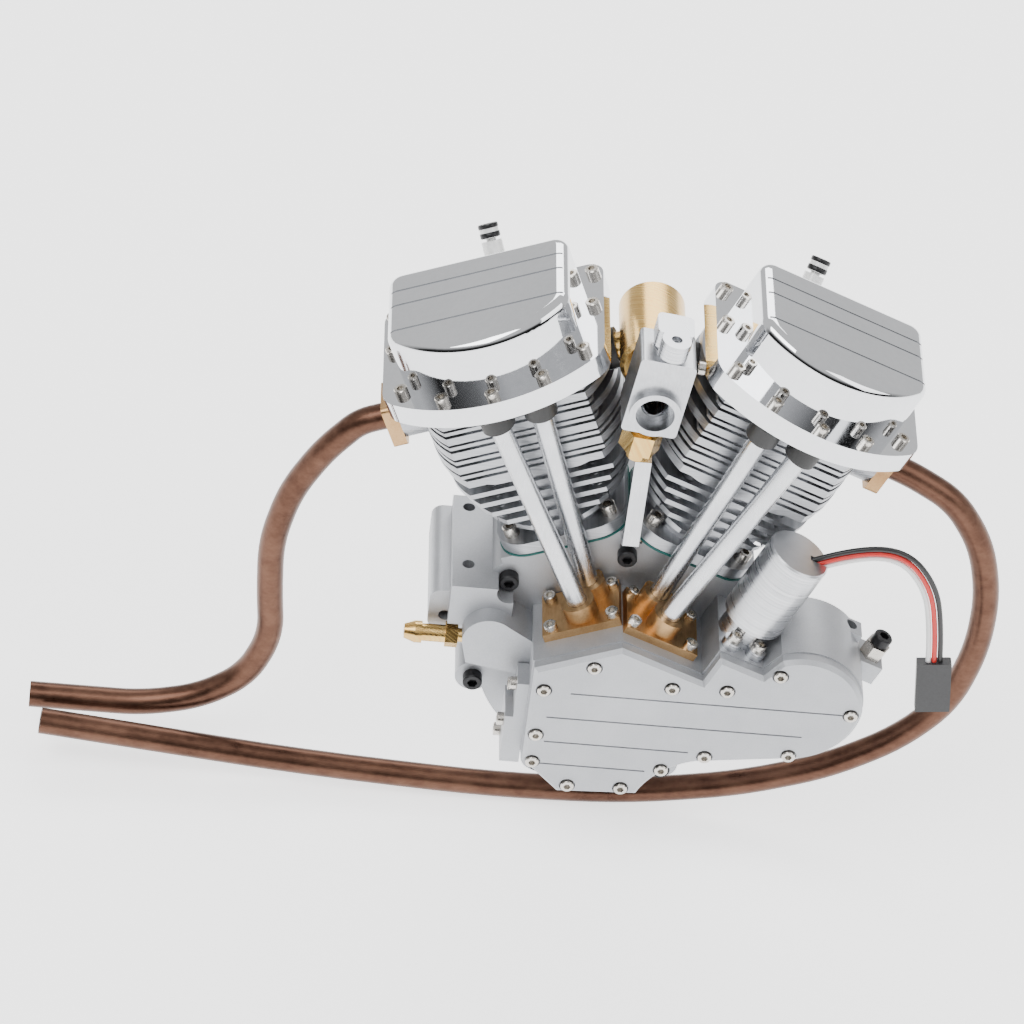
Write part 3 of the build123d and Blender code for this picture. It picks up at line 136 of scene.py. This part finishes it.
def new_group(name, inputs, outputs):
    tree = bpy.data.node_groups.new(name, "ShaderNodeTree")
    for label, kind, value in inputs:
        socket = tree.interface.new_socket(label, in_out="INPUT", socket_type="NodeSocket" + kind)
        socket.default_value = value
    for label, kind in outputs:
        tree.interface.new_socket(label, in_out="OUTPUT", socket_type="NodeSocket" + kind)
    return tree, tree.nodes.new("NodeGroupInput"), tree.nodes.new("NodeGroupOutput")


def feed(tree, socket, value):
    """Give a socket a number, or link it to another node's output."""
    if isinstance(value, (int, float)):
        socket.default_value = value
    else:
        tree.links.new(value, socket)


def noise(tree, vector, scale, detail, rough):
    node = tree.nodes.new("ShaderNodeTexNoise")
    node.inputs["Detail"].default_value = detail
    node.inputs["Roughness"].default_value = rough
    feed(tree, node.inputs["Vector"], vector)
    feed(tree, node.inputs["Scale"], scale)
    return node.outputs["Fac"]


def combine(tree, operation, *values):
    node = tree.nodes.new("ShaderNodeMath")
    node.operation = operation
    for socket, value in zip(node.inputs, values):
        feed(tree, socket, value)
    return node.outputs[0]


def spread(tree, value, low, high, to_low, to_high):
    node = tree.nodes.new("ShaderNodeMapRange")
    for label, given in (("Value", value), ("From Min", low), ("From Max", high),
                         ("To Min", to_low), ("To Max", to_high)):
        feed(tree, node.inputs[label], given)
    return node.outputs["Result"]


def mix_colour(tree, factor, a, b):
    node = tree.nodes.new("ShaderNodeMix")
    node.data_type = "RGBA"
    for label, value in ((0, factor), (6, a), (7, b)):
        tree.links.new(value, node.inputs[label])
    return node.outputs[2]


def surface(tree, given, out, grain, patch, grain_share, depth):
    """Colour and roughness follow grain and patches together, and the grain alone raises the surface."""
    blend = combine(tree, "ADD", combine(tree, "MULTIPLY", grain, grain_share),
                    combine(tree, "MULTIPLY", patch, 1 - grain_share))
    factor = spread(tree, blend, 0.36, 0.64, 0.0, 1.0)
    colour = mix_colour(tree, factor, given.outputs["Colour"], given.outputs["Second Colour"])
    tree.links.new(colour, out.inputs["Colour"])
    rough = spread(tree, blend, 0.35, 0.65, given.outputs["Roughness Low"], given.outputs["Roughness High"])
    tree.links.new(rough, out.inputs["Roughness"])
    bump = tree.nodes.new("ShaderNodeBump")
    bump.inputs["Distance"].default_value = depth
    tree.links.new(given.outputs["Bump"], bump.inputs["Strength"])
    tree.links.new(grain, bump.inputs["Height"])
    tree.links.new(bump.outputs[0], out.inputs["Normal"])


def grain_group():
    """Grain of any stretch over slow patches: blasted, brushed, drawn or rolled surfaces."""
    tree, given, out = new_group("grain_and_patches", GROUP_INPUTS + [("Stretch", "Vector", (1, 1, 1))],
                                 GROUP_OUTPUTS)
    place = tree.nodes.new("ShaderNodeTexCoord").outputs["Object"]
    pull = tree.nodes.new("ShaderNodeVectorMath")
    pull.operation = "MULTIPLY"
    tree.links.new(place, pull.inputs[0])
    tree.links.new(given.outputs["Stretch"], pull.inputs[1])
    grain = noise(tree, pull.outputs[0], given.outputs["Grain Scale"], 3.0, 0.7)
    patch = noise(tree, place, given.outputs["Patch Scale"], 5.0, 0.62)
    surface(tree, given, out, grain, patch, 0.45, 0.00006)
    return tree


def turned_group():
    """Fine rings square to an axis, left by a lathe tool, over slow patches."""
    tree, given, out = new_group("turned_rings", GROUP_INPUTS + [("Axis", "Vector", (0, 0, 1))],
                                 GROUP_OUTPUTS)
    place = tree.nodes.new("ShaderNodeTexCoord").outputs["Object"]
    along = tree.nodes.new("ShaderNodeVectorMath")
    along.operation = "DOT_PRODUCT"
    tree.links.new(place, along.inputs[0])
    tree.links.new(given.outputs["Axis"], along.inputs[1])
    rings = tree.nodes.new("ShaderNodeTexNoise")
    rings.noise_dimensions = "1D"
    rings.inputs["Detail"].default_value = 3.0
    tree.links.new(along.outputs["Value"], rings.inputs["W"])
    tree.links.new(given.outputs["Grain Scale"], rings.inputs["Scale"])
    patch = noise(tree, place, given.outputs["Patch Scale"], 4.0, 0.6)
    surface(tree, given, out, rings.outputs["Fac"], patch, 0.6, 0.00005)
    return tree


GRAIN, TURNED = grain_group(), turned_group()


# ------------------------------------------------------------------ materials
def material(name, group, first, second, metallic, rough, bump, grain, patch=90.0, extra=None, coat=0.0,
             specular=0.5):
    """Surface between two colours; rough is a low and a high value, extra the group's stretch or axis."""
    mat = bpy.data.materials.new(name)
    mat.use_nodes = True
    tree = mat.node_tree
    skin = tree.nodes["Principled BSDF"]
    made = tree.nodes.new("ShaderNodeGroup")
    made.node_tree = group
    values = {"Colour": (*first, 1), "Second Colour": (*second, 1), "Grain Scale": grain,
              "Patch Scale": patch, "Roughness Low": rough[0], "Roughness High": rough[1], "Bump": bump}
    if extra:
        values["Stretch" if group is GRAIN else "Axis"] = extra
    for label, value in values.items():
        made.inputs[label].default_value = value
    tree.links.new(made.outputs["Colour"], skin.inputs["Base Color"])
    tree.links.new(made.outputs["Roughness"], skin.inputs["Roughness"])
    tree.links.new(made.outputs["Normal"], skin.inputs["Normal"])
    skin.inputs["Metallic"].default_value = metallic
    skin.inputs["Coat Weight"].default_value = coat
    skin.inputs["Specular IOR Level"].default_value = specular
    return mat


def cool(level):
    """Grey with a little blue in it."""
    return (level, level + 0.01, level + 0.03)


def grey(level):
    return (level, level, level)


def insulation(colour, first, second):
    return material(colour + "_insulation", GRAIN, first, second, 0.0, (0.34, 0.46), 0.15, 2400.0)


MATS = {
    "cast": material("blasted_aluminium", GRAIN, cool(0.36), cool(0.48), 0.70, (0.40, 0.54), 0.70, 3000.0,
                     60.0),
    "machined": material("machined_aluminium", TURNED, cool(0.50), cool(0.68), 1.0, (0.20, 0.34), 0.35,
                         2600.0, 120.0, (0.12, 0, 1)),
    "fins": material("finned_aluminium", TURNED, cool(0.34), cool(0.48), 0.92, (0.30, 0.46), 0.20, 2200.0,
                     140.0, (0.0, 0, 1)),
    "mirror_cover": material("mirror_chrome", GRAIN, cool(0.70), cool(0.76), 1.0, (0.035, 0.075), 0.012,
                             700.0, 40.0),
    "tube": material("polished_aluminium", GRAIN, cool(0.52), cool(0.68), 1.0, (0.20, 0.32), 0.14, 3000.0,
                     90.0, (1, 1, 0.08)),
    "steel": material("turned_steel", TURNED, (0.42, 0.42, 0.43), (0.60, 0.60, 0.61), 1.0, (0.22, 0.38),
                      0.25, 2400.0, 90.0, (0, 1, 0.3)),
    "screw_steel": material("stainless_screws", GRAIN, (0.46, 0.43, 0.39), (0.66, 0.63, 0.58), 1.0,
                            (0.16, 0.32), 0.2, 2600.0, 200.0),
    "black_screw": material("black_oxide", GRAIN, (0.010, 0.010, 0.011), (0.030, 0.030, 0.032), 0.6,
                            (0.30, 0.46), 0.3, 2600.0),
    "brass": material("turned_brass", TURNED, (0.60, 0.36, 0.11), (0.76, 0.52, 0.20), 1.0, (0.18, 0.30),
                      0.35, 2400.0, 110.0, (0.4, 0.9, 0.2)),
    "bronze": material("milled_bronze", GRAIN, (0.40, 0.235, 0.105), (0.56, 0.36, 0.18), 1.0, (0.28, 0.44),
                       0.35, 2200.0, 160.0, (1, 0.15, 1)),
    # copper browned by heat, in long cloudy bands
    "copper": material("heat_tinted_copper", GRAIN, (0.066, 0.030, 0.019), (0.150, 0.076, 0.050), 0.88,
                       (0.26, 0.44), 0.10, 420.0, 48.0, (0.5, 1, 0.8)),
    "rubber": material("black_rubber", GRAIN, grey(0.010), grey(0.022), 0.0, (0.42, 0.6), 0.35, 2400.0),
    "gasket": material("green_gasket", GRAIN, (0.000, 0.060, 0.052), (0.004, 0.105, 0.090), 0.0, (0.5, 0.7),
                       0.4, 2600.0),
    "wire_black": insulation("black", grey(0.008), grey(0.018)),
    "wire_red": insulation("red", (0.52, 0.012, 0.010), (0.66, 0.030, 0.022)),
    "wire_white": insulation("white", grey(0.72), (0.82, 0.82, 0.81)),
    "plug": material("black_moulding", GRAIN, (0.012, 0.012, 0.013), (0.026, 0.026, 0.028), 0.0,
                     (0.38, 0.52), 0.3, 2000.0),
    "ceramic": material("glazed_ceramic", GRAIN, (0.80, 0.80, 0.78), (0.86, 0.86, 0.85), 0.0, (0.08, 0.16),
                        0.05, 900.0, 60.0, coat=0.6),
}
TURNED_CAN = material("turned_can", TURNED, cool(0.46), cool(0.68), 1.0, (0.24, 0.38), 0.14, 1500.0, 120.0,
                      (sin(BANK), 0, cos(BANK)))
MILLED = material("milled_carburettor", GRAIN, cool(0.44), cool(0.62), 1.0, (0.26, 0.40), 0.4, 2400.0, 130.0,
                  (1, 1, 0.2))
# nodes whose finish isn't their slot's
SPECIAL = {"ignition_housing": TURNED_CAN, "ignition_cap": TURNED_CAN, "carburettor_body": MILLED,
           "oil_pump_plate": MATS["cast"], "rocker_boxes": MATS["mirror_cover"]}


def dress(obj, mat):
    if not obj.material_slots:
        obj.data.materials.append(mat)
    for place in obj.material_slots:
        place.material = mat


slot_of = {part["node"]: part["material_slot"] for part in frame["record"]["subparts"]}
for name, obj in frame["nodes"].items():
    dress(obj, SPECIAL.get(name, MATS[slot_of[name]]))
for colour, obj in leads.items():
    dress(obj, MATS["wire_" + colour])

# ------------------------------------------------------------------ broken edges
# width of the small flats on the sharp edges of milled and moulded pieces, which catch the light
BROKEN_EDGES = {"crankcase_front_half": 0.25, "crankcase_rear_half": 0.25, "cam_cover": 0.18,
                "tappet_blocks": 0.16, "carburettor_body": 0.22, "throttle_barrel": 0.18,
                "cylinder_heads": 0.12, "cylinder_barrels": 0.12, "exhaust_flanges": 0.2, "lead_plug": 0.15,
                "carb_bracket": 0.2, "oil_pump_plate": 0.2}
for name, width in BROKEN_EDGES.items():
    edge = frame["nodes"][name].modifiers.new("broken_edges", "BEVEL")
    edge.width = width * MM
    edge.segments = 2
    edge.limit_method = "ANGLE"
    edge.angle_limit = radians(50)
    edge.use_clamp_overlap = True
    edge.harden_normals = False


# ------------------------------------------------------------------ making extra pieces
def add_loft(bm, rings):
    """Skin a row of closed rings of points, with a flat face at each end."""
    loops = [[bm.verts.new(point) for point in ring] for ring in rings]
    for low, high in zip(loops, loops[1:]):
        count = len(low)
        for k in range(count):
            after = (k + 1) % count
            bm.faces.new((low[k], low[after], high[after], high[k]))
    bm.faces.new(reversed(loops[0]))
    bm.faces.new(loops[-1])


def piece(name, lofts, mat, body, smooth=True):
    """A piece made of lofts, each a list of rings, that rides a body."""
    bm = bmesh.new()
    for rings in lofts:
        add_loft(bm, rings)
    bmesh.ops.recalc_face_normals(bm, faces=bm.faces)
    mesh = bpy.data.meshes.new(name)
    bm.to_mesh(mesh)
    bm.free()
    obj = bpy.data.objects.new(name, mesh)
    scene.collection.objects.link(obj)
    mesh.materials.append(mat)
    for face in mesh.polygons:
        face.use_smooth = smooth
    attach(obj, body)
    return obj


def circle(middle, across, up, radius, count):
    """Points on a circle, from its middle and two directions in its plane."""
    turns = [2 * pi * k / count for k in range(count)]
    return [middle + radius * (cos(turn) * across + sin(turn) * up) for turn in turns]


def bar_rings(points, radius, count):
    """Rings of a round bar that follows a list of points."""
    rings = []
    side = Vector((0, 0, 1))
    for k, point in enumerate(points):
        ahead = (points[min(k + 1, len(points) - 1)] - points[max(k - 1, 0)]).normalized()
        side = (side - ahead * side.dot(ahead)).normalized()
        rings.append(circle(point, side, ahead.cross(side), radius, count))
    return rings


def on_bank(side, t, y, h):
    """A place in an upright bank's axes; side is 1 for the right cylinder and -1 for the left."""
    across = side * (t * cos(BANK) + h * sin(BANK))
    return Vector((across, MID_Y - side * STAGGER + y, h * cos(BANK) - t * sin(BANK))) * MM


# ------------------------------------------------------------------ idle screw's spring
LEAN = radians(7.0)  # the carburettor leans this far to the right
INLET_H = 76.0  # inlet ports' height up a cylinder's axis
PLENUM_Z = INLET_H / cos(BANK)
CARB_FRONT, CARB_BACK = -24.5, -13.2
SPRING_X, SPRING_Y, SPRING_Z = 6.25, (CARB_FRONT + CARB_BACK) / 2, 9.4
SPRING_LENGTH, SPRING_TURNS, SPRING_R, SPRING_WIRE_R = 0.95, 3.0, 1.15, 0.13
SPRING_STEPS, SPRING_SIDES = 72, 8


def in_carb(x, y, z):
    """A place in the leaning carburettor's own axes."""
    return Vector((x * cos(LEAN) + z * sin(LEAN), MID_Y + y, PLENUM_Z + z * cos(LEAN) - x * sin(LEAN))) * MM


def spring_point(share):
    """A place on the coil, from the carburettor's side at 0 to the screw's head at 1."""
    turn = 2 * pi * SPRING_TURNS * share
    return in_carb(SPRING_X + SPRING_LENGTH * share, SPRING_Y + SPRING_R * cos(turn),
                   SPRING_Z + SPRING_R * sin(turn))


coil = [spring_point(k / SPRING_STEPS) for k in range(SPRING_STEPS + 1)]
piece("idle_spring", [bar_rings(coil, SPRING_WIRE_R * MM, SPRING_SIDES)], MATS["black_screw"], "engine")

# ------------------------------------------------------------------ spark plugs' dark terminal caps
PLUG_TILT, PLUG_FOOT = radians(33.0), Vector((0, 2.0, 59.0))
PLUG_ALONG = Vector((0, sin(PLUG_TILT), cos(PLUG_TILT)))
PLUG_ACROSS, PLUG_UP = Vector((1, 0, 0)), Vector((0, cos(PLUG_TILT), -sin(PLUG_TILT)))
CAP_SIDES = 40
# distance from the plug's foot and radius there
CAP_PROFILE = [(42.1, 1.3), (42.3, 2.15), (42.5, 2.26), (43.4, 2.26), (43.6, 2.0), (43.8, 1.75),
               (44.1, 1.75), (44.3, 2.0), (44.5, 2.26), (45.2, 2.26), (45.45, 2.1), (45.5, 1.2)]


def cap_ring(side, distance, radius):
    ring = circle(PLUG_FOOT + PLUG_ALONG * distance, PLUG_ACROSS, PLUG_UP, radius, CAP_SIDES)
    return [on_bank(side, *place) for place in ring]


for label, side in SIDES:
    rings = [cap_ring(side, distance, radius) for distance, radius in CAP_PROFILE]
    piece("plug_terminal_" + label, [rings], MATS["black_screw"], "engine")

# ------------------------------------------------------------------ thin fins between the heads' thick ones
HEAD_H, THICK_FIRST, THICK_PITCH, THICK = 57.5, 1.2, 4.2, 1.9
THIN, THIN_COUNT = 0.85, 5
FIN_R, FIN_FRONT, FIN_REAR = 22.2, -15.1, 17.4
PORTS_H, PORTS_LEFT, PORTS_REAR = 69.0, -17.3, 6.0  # above this height fins stop short of the ports
FIN_SIDES = 160


def fin_outline(left_limit, rear_limit):
    """Round fin cut straight at the front, at the rear and towards the other cylinder."""
    ring = []
    for k in range(FIN_SIDES):
        turn = 2 * pi * k / FIN_SIDES
        t, y = FIN_R * cos(turn), FIN_R * sin(turn)
        ring.append((max(t, left_limit), min(max(y, FIN_FRONT), rear_limit)))
    return [place for k, place in enumerate(ring) if place != ring[k - 1]]


def thin_fin(side, k):
    """Rings of the fin in the middle of gap k, counted from the head's foot."""
    low = HEAD_H + THICK_FIRST + THICK_PITCH * k + THICK + (THICK_PITCH - THICK - THIN) / 2
    near_ports = low > PORTS_H
    outline = fin_outline(PORTS_LEFT if near_ports else -FIN_R, PORTS_REAR if near_ports else FIN_REAR)
    return [[on_bank(side, t, y, h) for t, y in outline] for h in (low, low + THIN)]


for label, side in SIDES:
    fins = [thin_fin(side, k) for k in range(THIN_COUNT)]
    piece("thin_fins_" + label, fins, MATS["fins"], "engine", smooth=False)

# ------------------------------------------------------------------ floor
FLOOR_GAP, FLOOR_HALF, FLOOR_CELLS = 0.0005, 3.0, 8
FLOOR_GLOW = 1.6

mesh = bpy.data.meshes.new("floor")
bm = bmesh.new()
bmesh.ops.create_grid(bm, x_segments=FLOOR_CELLS, y_segments=FLOOR_CELLS, size=FLOOR_HALF)
bm.to_mesh(mesh)
bm.free()
floor = bpy.data.objects.new("floor", mesh)
floor.location = (0, 0, cad_box[0][2] - FLOOR_GAP)
scene.collection.objects.link(floor)
pale = material("pale_floor", GRAIN, grey(0.92), grey(0.94), 0.0, (0.6, 0.7), 0.02, 60.0, 3.0, specular=0.1)
pale_skin = pale.node_tree.nodes["Principled BSDF"]
pale_skin.inputs["Emission Color"].default_value = (1, 1, 1, 1)
pale_skin.inputs["Emission Strength"].default_value = FLOOR_GLOW
dress(floor, pale)

# ------------------------------------------------------------------ lamps
LIT_SPOT = (0, 0, 0.03)


def softbox(name, place, width, height, power):
    """Rectangular lamp that faces the engine."""
    light = bpy.data.lights.new(name, "AREA")
    light.shape = "RECTANGLE"
    light.size = width
    light.size_y = height
    light.energy = power
    obj = bpy.data.objects.new(name, light)
    obj.location = place
    obj.rotation_euler = (Vector(LIT_SPOT) - Vector(place)).to_track_quat("-Z", "Y").to_euler()
    scene.collection.objects.link(obj)


softbox("key", (-0.55, -0.55, 1.15), 0.9, 0.7, 13.0)
softbox("fill", (0.9, -0.5, 0.75), 0.7, 0.9, 6.0)
softbox("back", (0.1, 1.0, 0.95), 1.2, 0.5, 9.0)

# ------------------------------------------------------------------ surroundings
# brightness by height, from straight down at 0 to straight up at 1: the polished covers reflect a dark wall
WALL = ((0.48, 0.9), (0.51, 0.015), (0.63, 0.02), (0.70, 0.25), (0.78, 0.95))
WALL_BLUE = 1.01
WHITE = (1.0, 1.0, 1.0, 1)
SKY_STRENGTH = 0.85

world = bpy.data.worlds.new("studio")
world.use_nodes = True
scene.world = world
tree = world.node_tree
sky = tree.nodes["Background"]
looking = tree.nodes.new("ShaderNodeSeparateXYZ")
tree.links.new(tree.nodes.new("ShaderNodeTexCoord").outputs["Generated"], looking.inputs[0])
bands = tree.nodes.new("ShaderNodeValToRGB")
tree.links.new(combine(tree, "MULTIPLY_ADD", looking.outputs["Z"], 0.5, 0.5), bands.inputs[0])
for element, position in zip(bands.color_ramp.elements, (0.0, 1.0)):
    element.position, element.color = position, WHITE
for position, value in WALL:
    bands.color_ramp.elements.new(position).color = (value, value, value * WALL_BLUE, 1)
# the dark wall stands only on the viewer's side
towards = spread(tree, looking.outputs["Y"], -0.35, 0.05, 1.0, 0.0)
white_sky = tree.nodes.new("ShaderNodeRGB")
white_sky.outputs[0].default_value = WHITE
tree.links.new(mix_colour(tree, towards, white_sky.outputs[0], bands.outputs[0]), sky.inputs["Color"])
sky.inputs["Strength"].default_value = SKY_STRENGTH

bpy.context.view_layer.update()
